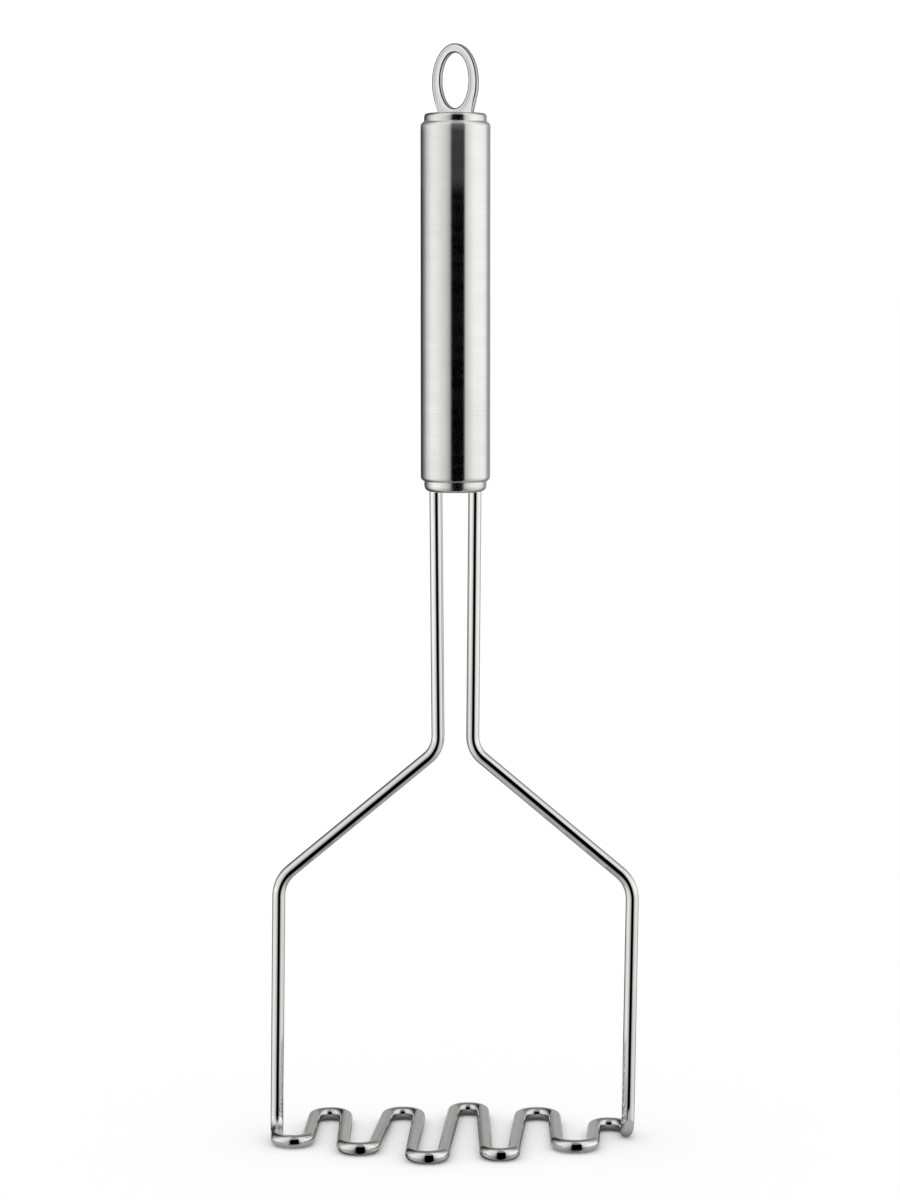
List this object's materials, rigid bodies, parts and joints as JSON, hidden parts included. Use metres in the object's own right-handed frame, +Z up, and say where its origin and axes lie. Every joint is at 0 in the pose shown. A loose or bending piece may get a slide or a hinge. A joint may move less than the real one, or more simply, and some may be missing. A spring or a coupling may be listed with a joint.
{
  "type": "wire potato masher",
  "caption": "Upright hand masher: a bent round wire with a flat zigzag foot, legs and a narrow neck, set in a closed tubular steel handle with a hanging ring.",
  "frame": {"origin": "on the ground, straight below the handle, at the middle of the zigzag foot's footprint", "axes": "+Z up along the handle's axis, +X across the two legs towards the right leg, -Y towards the front; the tool stands upright on its foot"},
  "size_m": [0.0969, 0.0529, 0.286],
  "materials": {
    "polished_wire": "polished stainless steel wire",
    "brushed_tube": "fine brushing round the handle",
    "satin_cap": "satin pressed stainless steel",
    "satin_ring": "tumbled satin stainless steel",
    "weld_metal": "bare weld metal, hidden inside the handle"
  },
  "bodies": {
    "root": {"masher_wire": "polished_wire", "handle_tube": "brushed_tube", "top_cap": "satin_cap", "bottom_cap": "satin_cap", "hanging_ring": "satin_ring", "ring_weld": "weld_metal", "wire_welds": "weld_metal"}
  },
  "joints": []
}
